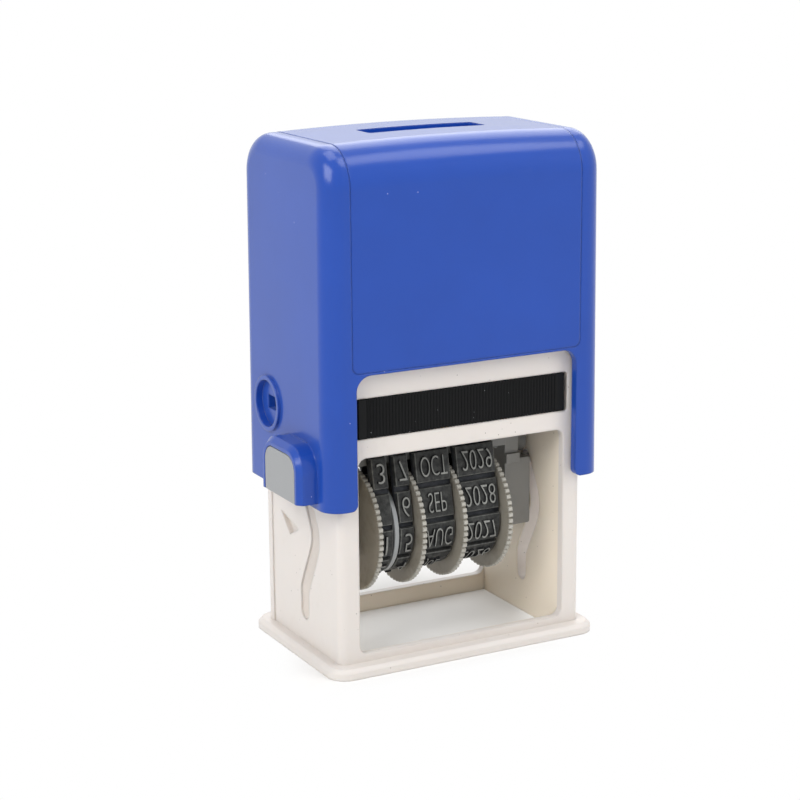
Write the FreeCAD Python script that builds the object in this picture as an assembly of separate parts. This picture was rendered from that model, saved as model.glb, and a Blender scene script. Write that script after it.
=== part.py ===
import FreeCAD, Part
import math
import os

# Self-inking date stamp: a white frame stands on the paper, a blue cap is pressed down over
# it, and the cap's two drive arms carry a carriage that turns over on its way to the paper.
# Millimetres, +Z up, front towards -Y. The origin is the centre of the footprint.

Vec = FreeCAD.Vector
ORIGIN = Vec(0, 0, 0)
ALONG_X = Vec(1, 0, 0)
ALONG_Y = Vec(0, 1, 0)
ALONG_Z = Vec(0, 0, 1)

overrun = 1.0  # how far a cutting tool runs past the face that it opens
touch = 0.001  # how near a point lies to a plane to count as on it
curve_steps = 6  # pairs of arcs along the half turn of the cam slot
wire_steps = 24  # points along one turn of the spring
wire_halves = 2  # pairs of arcs along one turn of the spring
wire_sides = 6  # flats round the spring's wire

# Foot and frame
foot_side_ledge = 1.92  # how far the foot stands out at each side
foot_front_ledge = 2.34  # and at the front and the back
foot_thickness = 1.6
foot_corner_r = 3.0
foot_bevel = 0.6
frame_depth = 24.43
frame_corner_r = 1.2
frame_rim = 3.7  # from the deck up to the frame's top edge
side_wall = 3.16
rail_wall = 1.3
window_sill = 2.7
window_top = 32.0
window_corner_r = 1.35
beam_height = 2.8  # from the window up to the cartridge's slot
slot_height = 5.9
slot_groove = 0.6  # how deep the cartridge's slot cuts into each side wall
slot_corner_r = 0.5
deck_thickness = 1.6
rear_post_width = 2.2
rear_post_proud = 0.22
arrow_mark_rise = 3.0
arrow_mark_run = 5.9
arrow_mark_depth = 0.7
arrow_mark_height = 17.0
arrow_mark_y = 1.3
spigot_height = 2.2

# Cap and cover
cap_bottom = 25.0
cap_height = 51.2  # from the bottom edge up to the top of the sides
cap_crown = 0.4  # how much higher the cover is in the middle
cap_draft = 0.35  # how much each side leans in over the cap's height
cap_wall = 1.3
cap_side_wall = 1.99  # at the bottom edge
cap_front_gap = 0.565  # between the cap's front or rear wall and the frame
cap_side_gap = 0.5  # between the cap's side wall and the frame
cap_roof = 2.2
cap_shoulder_r = 5.8
cap_corner_r = 2.85
cap_inner_corner_r = 1.0
leg_width = 4.65
cutout_height = 19.4
cutout_corner_r = 2.3
leg_corner_r = 1.0
cover_inset = 4.05  # from the cap's side in to the cover's seam
cover_step = 0.3  # from the cutout's top edge up to the cover's lower edge
cover_corner_r = 1.0
cover_seam = 0.1
ledge_width = 1.3
ledge_thickness = 0.6
roof_skin = 1.0
recess_width = 19.0
recess_depth = 4.6
recess_corner_r = 0.5

# Ring boss and its plug. The cap's two sides are alike when it is turned half round, so from
# the front only the left button shows. The sizes are those of the right side.
ring_y = -5.5
ring_lift = 12.1  # from the cap's bottom edge up to the middle of the ring
ring_r = 4.15
ring_wall = 0.65
ring_proud = 0.4
plug_thickness = 1.2
plug_sunk = 1.0
plug_hole_width = 2.6
plug_hole_height = 2.0

# Lock buttons and their bosses
boss_margin = 0.58  # left flat between the cap's round corner and the boss
boss_width = 11.1
boss_lift = 0.9  # from the cap's bottom edge up to the boss
boss_height = 7.4
boss_corner_r = 3.0
boss_proud = 3.0
boss_bevel = 0.75  # round the boss's front edge
boss_rim = 0.6
button_gap = 0.12
button_cap = 1.9  # thickness of the button's head
button_stem_width = 6.0
button_stem_height = 4.0
button_travel = 0.9
button_flush = 0.05

# Mechanism: the pivot's height follows from the stroke, the pad and the paper
press_gap = 1.6  # between the pressed cap and the foot
pad_gap = 0.3  # between the felt and the bands' print face at rest
paper_gap = 0.1  # between the print face and the paper at the end of the stroke
slide_gap = 0.1  # round the cartridge in its slot
joint_gap = 0.3  # between pieces that pass each other
fit_gap = 0.06  # radial, for pins that turn in their holes
pivot_y = -1.1  # the carriage turns a little in front of the middle
wheel_drop = 9.8  # from the pivot down to the wheel axle at rest
cam_lead = 9.4  # degrees by which the cam pin stands ahead of straight down at rest
cam_pin_r = 0.8
cam_pin_wall = 0.22  # left above the cam pin in the thick part of the cheek
cam_pin_sunk = 0.46  # how deep the cam pin's end lies in its slot
cam_slot_gap = 0.5  # round the cam pin in its slot
cam_slot_bottom = 5.1
pivot_pin_r = 1.1

# Carriage
left_cheek_wall = 0.9
right_cheek_wall = 2.3
pad_side_gap = 0.8  # between the cheeks and the side walls
cheek_depth = 6.0
cheek_corner_r = 0.6
cheek_foot = 3.1  # from the wheel axle down to the cheeks' lower edge
pad_arm_gap = 0.35  # between the arm's eye and the thick part of each cheek
lug_height = 1.5
lug_proud = 0.5
lug_drop = 2.8
axle_r = 1.5
axle_sunk = 0.5
spacer_r = 3.0
spacer_length = 2.25
platen_half = 2.2  # half of the flat on which the bands are pressed
platen_nose_r = 1.0
platen_gap = 0.48  # between the platen and the wheels' teeth

# Drive arms and their bridge
arm_front = 3.5
arm_depth = 3.8
arm_thickness = 1.8
arm_foot_r = 1.95
bridge_thickness = 1.6
bridge_front = -6.5

# Date wheels, from left to right: the space that each band has between two discs
day_tens_space = 3.04
day_units_space = 2.82
month_space = 6.24
year_space = 7.06
stack_gap = 0.39  # between the left cheek and the first disc
disc_thickness = 0.65
disc_r = 9.47
tooth_height = 0.4
tooth_count = 64
tooth_land_share = 0.48
separator_r = 7.28
side_gap = 0.15  # between a band and the discs beside it
hub_gap = 0.15  # between a band and the hub that it runs on
hub_lip = 0.1

# Date bands
belt_r = 5.9  # inside of the band where it goes round the wheel
belt_thickness = 0.8
cell_height = 1.0
cell_count = 12
cell_gap = 0.75

# Ink cartridge and felt
grip_end_gap = 0.7  # between the grip and each end of its slot
grip_proud = 0.2
grip_depth = 1.6
grip_rib_count = 62
grip_rib_depth = 0.2
grip_rib_margin = 1.2
tray_gap = 0.4  # between the tray and each drive arm
felt_wall = 1.3
felt_depth = 13.0
felt_thickness = 3.2

# Return spring
spring_r = 4.1
spring_wire = 0.8
spring_turns = 5
spring_end_gap = 0.55

# Heights, worked out from the sizes above
stroke = cap_bottom - foot_thickness - press_gap
slot_bottom = window_top + beam_height
slot_top = slot_bottom + slot_height
deck_top = slot_top + deck_thickness
frame_top = deck_top + frame_rim
felt_bottom = slot_bottom + slide_gap
print_face = felt_bottom - pad_gap
face_reach = (print_face - stroke - paper_gap) / 2
pivot_z = print_face - face_reach
wheel_z = pivot_z - wheel_drop
cheek_bottom = wheel_z - cheek_foot
platen_top = print_face - belt_thickness - cell_height
platen_bottom = wheel_z + disc_r + platen_gap
platen_nose_z = platen_top - platen_nose_r
cap_edge_height = cap_bottom + cap_height
cutout_top = cap_bottom + cutout_height
ring_height = cap_bottom + ring_lift
boss_bottom = cap_bottom + boss_lift
roof_z = cap_edge_height - cap_roof
bridge_bottom = roof_z - bridge_thickness

# Widths, from the wheels on their axle out to the cap and the foot
band_spaces = (day_tens_space, day_units_space, month_space, year_space)
stack_width = sum(band_spaces) + (len(band_spaces) + 1) * disc_thickness
cheek_span = stack_gap + stack_width + side_gap + spacer_length
cheek_outside = (left_cheek_wall + cheek_span + right_cheek_wall) / 2
arm_inside = cheek_outside + joint_gap
pad_outside = arm_inside + arm_thickness
inner_half = pad_outside + pad_side_gap
frame_half = inner_half + side_wall
cap_inner_half = frame_half + cap_side_gap
cap_half_width = cap_inner_half + cap_side_wall
cutout_half = cap_half_width - leg_width
cover_half = cap_half_width - cover_inset
boss_face = cap_half_width + boss_proud
slot_half = inner_half + slot_groove
grip_half = slot_half - grip_end_gap
tray_half = arm_inside - tray_gap
cheek_insides = {"right": cheek_outside - right_cheek_wall, "left": cheek_outside - left_cheek_wall}

# Depths, and the sizes of the mechanism
frame_y = frame_depth / 2
inner_y = frame_y - rail_wall
cap_inner_y = frame_y + cap_front_gap
cap_y = cap_inner_y + cap_wall
boss_back = cap_y - cap_corner_r - boss_bevel - boss_margin
boss_middle = boss_back - boss_width / 2
cheek_half = cheek_depth / 2
pad_clear = arm_foot_r + pad_arm_gap
cam_orbit_r = pad_clear + cam_pin_wall + cam_pin_r
cam_slot_half = cam_pin_r + cam_slot_gap
hub_r = belt_r - hub_gap
arm_back = arm_front + arm_depth
arm_hole_r = pivot_pin_r + fit_gap
spring_post_r = spring_r - spring_wire


def block(x0, x1, y0, y1, z0, z1):
    """A box between two corners."""
    return Part.makeBox(x1 - x0, y1 - y0, z1 - z0, Vec(x0, y0, z0))


def rod(y, z, r, x0, x1):
    """A round bar along X."""
    return Part.makeCylinder(r, x1 - x0, Vec(x0, y, z), ALONG_X)


def carried(shape):
    """A piece of the mechanism, drawn round the pivot's own middle, moved to its place."""
    return shape.translated(Vec(0, pivot_y, 0))


def both_sides(shape):
    """A shape on the right, with its mirror image on the left."""
    return [shape, mirrored(shape)]


def mirrored(shape):
    """The mirror image of a shape across the middle plane."""
    return shape.mirror(ORIGIN, ALONG_X)


def turned(shape):
    """A shape on the right, turned half round to the left."""
    return shape.rotated(ORIGIN, ALONG_Z, 180)


def both_turns(shape):
    """A shape on the right, with its half turned copy on the left."""
    return [shape, turned(shape)]


def prism(points, direction):
    """A straight-sided outline pushed along a direction."""
    return Part.Face(Part.makePolygon(points + points[:1])).extrude(direction)


def joined(shape, *others):
    """One solid from pieces that meet, with its flat faces merged."""
    return shape.fuse(list(others)).removeSplitter()


def rounded_panel(half, z0, z1, r_low, r_high, y0, y1):
    """A rectangle in the XZ plane with rounded corners, pushed from y0 to y1."""
    panel = block(-half, half, y0, y1, z0, z1)
    for height, r in ((z0, r_low), (z1, r_high)):
        if r:
            panel = fillet(panel, r, lambda p: abs(p.z - height) < touch, ALONG_Y)
    return panel


def edges_where(shape, test, along=None, above=-math.inf):
    """The edges whose points all pass a test, run along a direction and reach above a height."""
    found = []
    for edge in shape.Edges:
        points = edge.discretize(5)
        if not all(test(p) for p in points) or max(p.z for p in points) < above:
            continue
        if along is None or (points[-1] - points[0]).cross(along).Length < touch:
            found.append(edge)
    return found


def fillet(shape, r, test, along=None, above=-math.inf):
    """A shape with the edges that pass a test rounded."""
    return shape.makeFillet(r, edges_where(shape, test, along, above))


def bevel(shape, size, test, along=None, above=-math.inf):
    """A shape with the edges that pass a test cut off at a slope."""
    return shape.makeChamfer(size, edges_where(shape, test, along, above))


def polar(r, angle, z=0):
    """A point in the YZ plane at an angle that opens from +Y towards +Z."""
    return Vec(0, r * math.cos(angle), z + r * math.sin(angle))


def make_foot():
    """The thin flange that stands on the paper."""
    half_x = frame_half + foot_side_ledge
    half_y = frame_y + foot_front_ledge
    foot = block(-half_x, half_x, -half_y, half_y, 0, foot_thickness)
    foot = fillet(foot, foot_corner_r, lambda p: abs(p.x) > half_x - touch, ALONG_Z)
    return bevel(foot, foot_bevel, lambda p: abs(p.z - foot_thickness) < touch)


def cam_direction(turn):
    """The direction in which the cam pin moves in the side wall at an angle of the carriage."""
    angle = turn + math.radians(cam_lead)
    fall = stroke / math.pi - cam_orbit_r * math.sin(angle)
    return Vec(0, -cam_orbit_r * math.cos(angle), -fall).normalize()


def cam_point(turn, offset=0):
    """Where the cam pin stands in the side wall once the carriage has turned by an angle."""
    angle = turn + math.radians(cam_lead)
    y = pivot_y - cam_orbit_r * math.sin(angle)
    z = pivot_z - stroke * turn / math.pi - cam_orbit_r * math.cos(angle)
    along = cam_direction(turn)
    return Vec(0, y, z) + Vec(0, along.z, -along.y) * offset


def cam_edge(offset):
    """One long edge of the cam slot, in arcs, at an offset from the pin's way."""
    edges = []
    for i in range(curve_steps):
        a = math.pi * i / curve_steps
        b = math.pi * (i + 1) / curve_steps
        edges += biarc(cam_point(a, offset), cam_direction(a), cam_point(b, offset), cam_direction(b))
    return edges


def cam_slot():
    """The S-shaped way of the cam pin through the right side wall, with its straight tail."""
    half = cam_slot_half
    lower = Part.makeLine(cam_point(math.pi, half), cam_point(math.pi, -half))
    upper = Part.makeLine(cam_point(0, -half), cam_point(0, half))
    outline = Part.Wire(cam_edge(half) + [lower] + cam_edge(-half)[::-1] + [upper])
    x0 = inner_half - overrun
    x1 = frame_half + rear_post_proud + overrun
    slot = Part.Face(outline).extrude(Vec(x1 - x0, 0, 0))
    slot.translate(Vec(x0, 0, 0))
    start = cam_point(0)
    end = cam_point(math.pi)
    tail_z = cam_slot_bottom + half
    tools = [rod(start.y, start.z, half, x0, x1), rod(end.y, end.z, half, x0, x1)]
    if tail_z < end.z:
        tools.append(rod(end.y, tail_z, half, x0, x1))
        tools.append(block(x0, x1, end.y - half, end.y + half, tail_z, end.z))
    return slot.fuse(tools)


def arrow_mark():
    """The small sunken triangle on the side wall behind the cam slot."""
    face_x = frame_half - arrow_mark_depth
    tip_y = arrow_mark_y
    back_y = arrow_mark_y + arrow_mark_run
    points = [
        Vec(face_x, tip_y, arrow_mark_height + arrow_mark_rise / 2),
        Vec(face_x, back_y, arrow_mark_height + arrow_mark_rise),
        Vec(face_x, back_y - arrow_mark_rise, arrow_mark_height),
    ]
    return prism(points, Vec(arrow_mark_depth + overrun, 0, 0))


def make_frame():
    """The white frame: foot, walls, windows, cartridge slot, deck and cam slots."""
    shell = block(-frame_half, frame_half, -frame_y, frame_y, 0, frame_top)
    shell = fillet(shell, frame_corner_r, lambda p: abs(p.x) > frame_half - touch, ALONG_Z)
    post_x = frame_half + rear_post_proud
    post = block(-post_x, post_x, frame_y - rear_post_width, frame_y, 0, frame_top)
    post = fillet(post, frame_corner_r, lambda p: p.y > frame_y - touch, ALONG_Z)
    frame = joined(shell, post, make_foot())
    frame = frame.cut(block(-inner_half, inner_half, -inner_y, inner_y, -overrun, slot_top))
    frame = frame.cut(block(-inner_half, inner_half, -inner_y, inner_y, deck_top, frame_top + overrun))
    y0 = -frame_y - overrun
    y1 = frame_y + overrun
    window = rounded_panel(inner_half, window_sill, window_top, window_corner_r, window_corner_r, y0, y1)
    slot = rounded_panel(slot_half, slot_bottom, slot_top, slot_corner_r, slot_corner_r, y0, y1)
    arm_x0 = arm_inside - joint_gap
    arm_y0 = arm_front - joint_gap
    arm_y1 = arm_back + joint_gap
    arm_hole = carried(block(arm_x0, inner_half, arm_y0, arm_y1, slot_top - overrun, deck_top + overrun))
    tools = [window, slot] + both_sides(arm_hole) + both_sides(cam_slot()) + both_sides(arrow_mark())
    frame = frame.cut(tools)
    spigot_foot = Vec(0, 0, deck_top - deck_thickness / 2)
    spigot = Part.makeCylinder(spring_post_r, spigot_height + deck_thickness / 2, spigot_foot)
    return joined(frame, spigot)


def cap_side(z):
    """Half of the cap's outer width at a height."""
    return cap_half_width - cap_draft * (z - cap_bottom) / cap_height


def cover_form():
    """The crowned form of the cap's front, shoulders, top and back that the cover is cut from."""
    top = cap_edge_height + cap_crown
    crown_r = (cover_half ** 2 + cap_crown ** 2) / (2 * cap_crown)
    centre = Vec(0, 0, top - crown_r)
    low = cap_bottom - overrun
    section = block(0, overrun, -cap_y, cap_y, low, top)
    section = fillet(section, cap_shoulder_r, lambda p: abs(p.z - top) < touch, ALONG_X)
    face = [f for f in section.Faces if f.BoundBox.XMax < touch][0]
    swing = math.degrees(math.asin((cover_half + overrun) / (low - centre.z)))
    start = face.rotated(centre, ALONG_Y, -swing)
    return start.revolve(centre, ALONG_Y, 2 * swing)


def cap_half():
    """The right half of the cap's outer form with its two bosses, drawn upright, then leant in."""
    low = cap_bottom - overrun
    side = lambda p: abs(p.x - cap_half_width) < touch
    half = block(-overrun, cap_half_width, -cap_y, cap_y, low, cap_edge_height)
    half = fillet(half, cap_shoulder_r, lambda p: abs(p.z - cap_edge_height) < touch, ALONG_X)
    half = fillet(half, cap_corner_r, side, None, cap_bottom)
    boss = boss_outline(-boss_bevel, cap_bottom, cap_inner_half, boss_face)
    boss = bevel(boss, boss_bevel, lambda p: abs(p.x - boss_face) < touch, None, cap_bottom + touch)
    half = half.fuse(boss)
    reach = boss_width / 2 + boss_bevel + overrun
    y0 = boss_middle - reach
    half = half.cut(block(cap_half_width, boss_face + overrun, y0, y0 + 2 * reach, low, boss_bottom))
    half = half.fuse(rod(ring_y, ring_height, ring_r, cap_inner_half, cap_half_width + ring_proud))
    lean = math.degrees(math.atan(cap_draft / cap_height))
    half.rotate(Vec(cap_half_width, 0, cap_bottom), ALONG_Y, -lean)
    return half.common(block(0, boss_face, -cap_y, cap_y, cap_bottom, cap_edge_height + overrun))


def cap_cavity(grow=0, rise=0):
    """The space inside the cap, or the same form larger by a skin."""
    x = cap_inner_half
    y = cap_inner_y + grow
    z = roof_z + rise
    space = block(-x, x, -y, y, cap_bottom - overrun, z)
    space = fillet(space, cap_inner_corner_r, lambda p: abs(p.x) > x - touch, ALONG_Z)
    shoulder = cap_shoulder_r - cap_wall + grow
    points = [
        Vec(-x, -y, z),
        Vec(-x, -y, z - shoulder),
        Vec(-x, -y + shoulder, z),
    ]
    wedge = prism(points, Vec(2 * x, 0, 0))
    wedge = wedge.cut(rod(-y + shoulder, z - shoulder, shoulder, -x - overrun, x + overrun))
    return space.cut([wedge, wedge.mirror(ORIGIN, ALONG_Y)])


def cap_cutout():
    """The front and rear opening of the cap, with rounded feet on its legs."""
    y0 = -cap_y - overrun
    y1 = cap_y + overrun
    low = cap_bottom - cutout_corner_r - overrun
    opening = rounded_panel(cutout_half, low, cutout_top, 0, cutout_corner_r, y0, y1)
    foot_x = cutout_half + leg_corner_r
    foot_z = cap_bottom + leg_corner_r
    foot = block(cutout_half - overrun, foot_x, y0, y1, cap_bottom - overrun, foot_z)
    round_off = Part.makeCylinder(leg_corner_r, y1 - y0, Vec(foot_x, y0, foot_z), ALONG_Y)
    return opening.fuse(both_sides(foot.cut(round_off)))


def cover_zone(shrink):
    """The part of the cap that the cover takes: front, top and back."""
    low = cutout_top + cover_step + shrink
    high = cap_edge_height + cap_crown + overrun
    y = cap_y + overrun
    return rounded_panel(cover_half - shrink, low, high, cover_corner_r, 0, -y, y)


def skin_window(shrink):
    """The opening in the body's skin that the cover's panels fill."""
    half = cover_half - ledge_width - shrink
    low = cutout_top + cover_step + ledge_width + shrink
    high = roof_z - cap_shoulder_r - shrink
    y = cap_y + overrun
    return block(-half, half, -y, y, low, high)


def boss_outline(inset, low, x0, x1):
    """The arch of the lock button's boss, smaller by an inset, pushed from x0 to x1."""
    y0 = boss_back - boss_width + inset
    y1 = boss_back - inset
    z1 = boss_bottom + boss_height - inset
    arch = block(x0, x1, y0, y1, low, z1)
    return fillet(arch, boss_corner_r - inset, lambda p: abs(p.z - z1) < touch, ALONG_X)


def make_cap_body():
    """The cap's sides and inner skin, with the ring bosses and the lock buttons' bosses."""
    right = cap_half()
    body = joined(right, turned(right)).cut(cap_cutout())
    ring_end = cap_side(ring_height) + ring_proud + overrun
    bore = rod(ring_y, ring_height, ring_r - ring_wall, cap_inner_half - overrun, ring_end)
    well = boss_outline(boss_rim, boss_bottom - overrun, cap_side(boss_bottom), boss_face + overrun)
    stem = button_stem(button_gap, cap_inner_half - overrun, boss_face)
    body = body.cut(both_turns(bore) + both_turns(well) + both_turns(stem))
    shell = body.cut(cap_cavity())
    skin = cap_cavity(ledge_thickness, roof_skin).cut(cap_cavity()).cut(skin_window(0))
    return shell.cut(cover_zone(0)).fuse(skin.common(cover_zone(0))).removeSplitter()


def make_cap_cover():
    """The panel over the cap's front, top and back, rebated onto the body's skin."""
    shell = cover_form().common(cover_zone(cover_seam)).cut(cap_cavity())
    skin_space = cap_cavity(ledge_thickness + cover_seam / 2, roof_skin).cut(skin_window(cover_seam))
    cover = shell.cut(skin_space)
    x = recess_width / 2
    y = recess_depth / 2
    high = cap_edge_height + cap_crown + overrun
    recess = block(-x, x, -y, y, roof_z, high)
    recess = fillet(recess, recess_corner_r, lambda p: abs(p.x) > x - touch, ALONG_Z)
    return cover.cut(recess)


def make_ring_plug():
    """The plug sunk in the right ring boss, with its square hole."""
    x1 = cap_side(ring_height) + ring_proud - plug_sunk
    r = ring_r - ring_wall
    plug = rod(ring_y, ring_height, r, x1 - plug_thickness, x1)
    y0 = ring_y - plug_hole_width / 2
    y1 = y0 + plug_hole_width
    z0 = ring_height - plug_hole_height / 2
    x0 = x1 - plug_thickness - overrun
    return plug.cut(block(x0, x1 + overrun, y0, y1, z0, z0 + plug_hole_height))


def button_stem(grow, x0, x1):
    """The stem of the lock button where it passes the cap's side wall."""
    y = boss_middle
    z = boss_bottom + boss_height / 2
    half_y = button_stem_width / 2 + grow
    half_z = button_stem_height / 2 + grow
    return block(x0, x1, y - half_y, y + half_y, z - half_z, z + half_z)


def make_lock_button():
    """The grey lock button on the right: an arched head and its stem."""
    x1 = boss_face - button_flush
    head = boss_outline(boss_rim + button_gap, boss_bottom, x1 - button_cap, x1)
    stem_end = cap_inner_half + button_travel - joint_gap / 2
    return joined(head, button_stem(0, stem_end, x1 - button_cap / 2))


def make_drive_arm():
    """The right drive arm: a strip from the bridge down to the eye round the pivot pin."""
    x0 = arm_inside
    width = pad_outside - arm_inside
    z0 = pivot_z - arm_foot_r
    strip = block(x0, pad_outside, arm_front, arm_back, z0, bridge_bottom)
    knee = block(x0, pad_outside, 0, arm_front, z0, pivot_z + arm_foot_r)
    eye = rod(0, pivot_z, arm_foot_r, x0, x0 + width)
    arm = joined(strip, knee, eye)
    return carried(arm.cut(rod(0, pivot_z, arm_hole_r, x0 - overrun, pad_outside + overrun)))


def make_spring_bridge():
    """The plate under the roof that carries both drive arms and the spring's upper end."""
    plate = block(-pad_outside, pad_outside, bridge_front, arm_back + pivot_y, bridge_bottom, roof_z)
    spigot_foot = Vec(0, 0, bridge_bottom - spigot_height)
    spigot = Part.makeCylinder(spring_post_r, spigot_height + bridge_thickness / 2, spigot_foot)
    return joined(plate, spigot)


def biarc(p0, t0, p1, t1):
    """Two arcs from one point and direction to another, meeting smoothly."""
    chord = p1 - p0
    total = t0 + t1
    a = 2 * (1 - t0.dot(t1))
    b = 2 * chord.dot(total)
    square = chord.dot(chord)
    reach = square / b if a < touch ** 2 else (math.sqrt(b * b + 4 * a * square) - b) / (2 * a)
    join = (p0 + t0 * reach + p1 - t1 * reach) * 0.5
    return [tangent_arc(p0, t0, join), tangent_arc(join, (p1 - t1 * reach - join).normalize(), p1)]


def tangent_arc(start, along, end):
    """The arc that leaves a point along a direction and ends at another point."""
    chord = end - start
    across = chord.cross(along).cross(chord).normalize()
    half_turn = chord.getAngle(along)
    rise = chord.Length / 2 * math.tan(half_turn / 2)
    return Part.Arc(start, start + chord * 0.5 + across * rise, end).toShape()


def spring_height(turn):
    """How high the spring's wire has climbed after a number of turns, with closed ends."""
    closed = spring_wire + spring_end_gap
    length = bridge_bottom - deck_top - spring_wire
    free = (length - 2 * closed) / (spring_turns - 2)
    climbs = [closed, closed + free * (spring_turns - 2)]
    if turn <= 1:
        return closed * turn
    if turn <= spring_turns - 1:
        return climbs[0] + free * (turn - 1)
    return climbs[1] + closed * (turn - spring_turns + 1)


def spring_point(turn):
    """A point on the spring's centre line."""
    angle = 2 * math.pi * turn
    height = deck_top + spring_wire / 2 + spring_height(turn)
    return Vec(spring_r * math.cos(angle), spring_r * math.sin(angle), height)


def spring_direction(turn):
    """The direction of the spring's centre line."""
    step = touch
    return (spring_point(turn + step) - spring_point(turn - step)).normalize()


def make_return_spring():
    """The compression spring between the frame's deck and the bridge, one unbroken tube."""
    edges = []
    for i in range(wire_halves * spring_turns):
        a = i / wire_halves
        b = (i + 1) / wire_halves
        edges += biarc(spring_point(a), spring_direction(a), spring_point(b), spring_direction(b))
    path = Part.Wire(edges)
    along = spring_direction(0)
    side = along.cross(ALONG_Z).normalize() * (spring_wire / 2)
    turn = FreeCAD.Rotation(along, math.degrees(2 * math.pi / wire_sides))
    corners = [side]
    for _ in range(wire_sides):
        corners.append(turn.multVec(corners[-1]))
    ring = Part.makePolygon([spring_point(0) + corner for corner in corners])
    tube = path.makePipeShell([ring], True, False)
    points = [spring_point(i / wire_steps) for i in range(wire_steps * spring_turns + 1)]
    half_turn = wire_steps // 2
    gap = min((p - q).Length for i, p in enumerate(points) for q in points[i + half_turn:])
    print("least gap of the spring to itself", round(gap - spring_wire, 3))
    return tube


def cam_pin_place():
    """Where the cam pin stands at rest, drawn round the pivot's own middle."""
    lead = math.radians(cam_lead)
    return -cam_orbit_r * math.sin(lead), pivot_z - cam_orbit_r * math.cos(lead)


def make_cheek(cheek_inside):
    """A cheek of the carriage on the right, with its thick part, lug and pin holes."""
    z1 = platen_top
    plate = block(cheek_inside, cheek_outside, -cheek_half, cheek_half, cheek_bottom, z1)
    pad_top = pivot_z - pad_clear
    pad = block(cheek_outside, pad_outside, -cheek_half, cheek_half, cheek_bottom, pad_top)
    lug_low = pivot_z - lug_drop
    lug_y = -cheek_half - lug_proud
    lug = block(cheek_inside, cheek_outside, lug_y, -cheek_half, lug_low, lug_low + lug_height)
    cheek = joined(plate, pad, lug)
    cheek = fillet(cheek, cheek_corner_r, lambda p: abs(p.z - cheek_bottom) < touch, ALONG_X)
    cheek = fillet(cheek, cheek_corner_r, lambda p: abs(p.z - z1) < touch, ALONG_X)
    x0 = cheek_inside - overrun
    x1 = pad_outside + overrun
    holes = [
        rod(0, pivot_z, pivot_pin_r, x0, x1),
        rod(0, wheel_z, axle_r, x0, x1),
        rod(*cam_pin_place(), cam_pin_r, cheek_outside, x1),
    ]
    return carried(cheek.cut(holes))


def make_platen():
    """The bar between the cheeks over which the bands are stretched for printing."""
    half = platen_half + platen_nose_r
    x0 = -cheek_insides["left"]
    x1 = cheek_insides["right"]
    bar = block(x0, x1, -half, half, platen_bottom, platen_top)
    return carried(fillet(bar, platen_nose_r, lambda p: abs(p.z - platen_top) < touch, ALONG_X))


def belt_normal():
    """The direction, in the YZ plane, that the rear straight run of a band faces."""
    dy = platen_half
    dz = platen_nose_z - wheel_z
    length = math.hypot(dy, dz)
    lean = math.asin((belt_r - platen_nose_r) / length)
    return math.atan2(dz, dy) - math.pi / 2 + lean


def belt_form(offset, x0, x1):
    """The solid inside a band's line, larger by an offset, from x0 to x1."""
    facing = belt_normal()
    low_r = belt_r + offset
    high_r = platen_nose_r + offset
    across = lambda p: Vec(x0, -p.y, p.z)
    low = polar(low_r, facing, wheel_z) + Vec(x0, 0, 0)
    high = polar(high_r, facing, platen_nose_z) + Vec(x0, platen_half, 0)
    bend = (facing + math.pi / 2) / 2
    corner = polar(high_r, bend, platen_nose_z) + Vec(x0, platen_half, 0)
    top = Vec(x0, platen_half, platen_nose_z + high_r)
    bottom = Vec(x0, 0, wheel_z - low_r)
    edges = [
        Part.Arc(across(low), bottom, low).toShape(),
        Part.makeLine(low, high),
        Part.Arc(high, corner, top).toShape(),
        Part.makeLine(top, across(top)),
        Part.Arc(across(top), across(corner), across(high)).toShape(),
        Part.makeLine(across(high), across(low)),
    ]
    return Part.Face(Part.Wire(edges)).extrude(Vec(x1 - x0, 0, 0))


def belt_place(distance, offset):
    """The point and facing angle of the rear half of a band's line, a distance from its top."""
    facing = belt_normal()
    low_r = belt_r + offset
    high_r = platen_nose_r + offset
    nose = high_r * (math.pi / 2 - facing)
    low = polar(low_r, facing, wheel_z)
    high = polar(high_r, facing, platen_nose_z) + Vec(0, platen_half, 0)
    run = (high - low).Length
    if distance < platen_half:
        return Vec(0, distance, platen_nose_z + high_r), math.pi / 2
    distance -= platen_half
    if distance < nose:
        angle = math.pi / 2 - distance / high_r
        return polar(high_r, angle, platen_nose_z) + Vec(0, platen_half, 0), angle
    distance -= nose
    if distance < run:
        return high + (low - high) * (distance / run), facing
    angle = facing - (distance - run) / low_r
    return polar(low_r, angle, wheel_z), angle


def belt_half_length(offset):
    """Half of the length of a band's line at an offset."""
    facing = belt_normal()
    low_r = belt_r + offset
    high_r = platen_nose_r + offset
    run = (Vec(0, platen_half, platen_nose_z - wheel_z) + polar(high_r - low_r, facing)).Length
    return platen_half + high_r * (math.pi / 2 - facing) + run + low_r * (facing + math.pi / 2)


def make_band(x0, x1):
    """A date band: a closed belt with raised, blank cells all round."""
    skin = belt_thickness + cell_height
    belt = belt_form(belt_thickness, x0, x1)
    cells = belt_form(skin, x0, x1)
    half_length = belt_half_length(skin)
    pitch = 2 * half_length / cell_count
    gaps = []
    for i in range(cell_count // 2):
        place, facing = belt_place(pitch * (i + 0.5), skin)
        half = cell_gap / 2
        gap = block(x0 - overrun, x1 + overrun, -cell_height, cell_height, -half, half)
        gap.rotate(ORIGIN, ALONG_X, math.degrees(facing))
        gap.translate(place)
        gaps += [gap, gap.mirror(ORIGIN, ALONG_Y)]
    return cells.cut(gaps).fuse(belt).removeSplitter().cut(belt_form(0, x0 - overrun, x1 + overrun))


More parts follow.
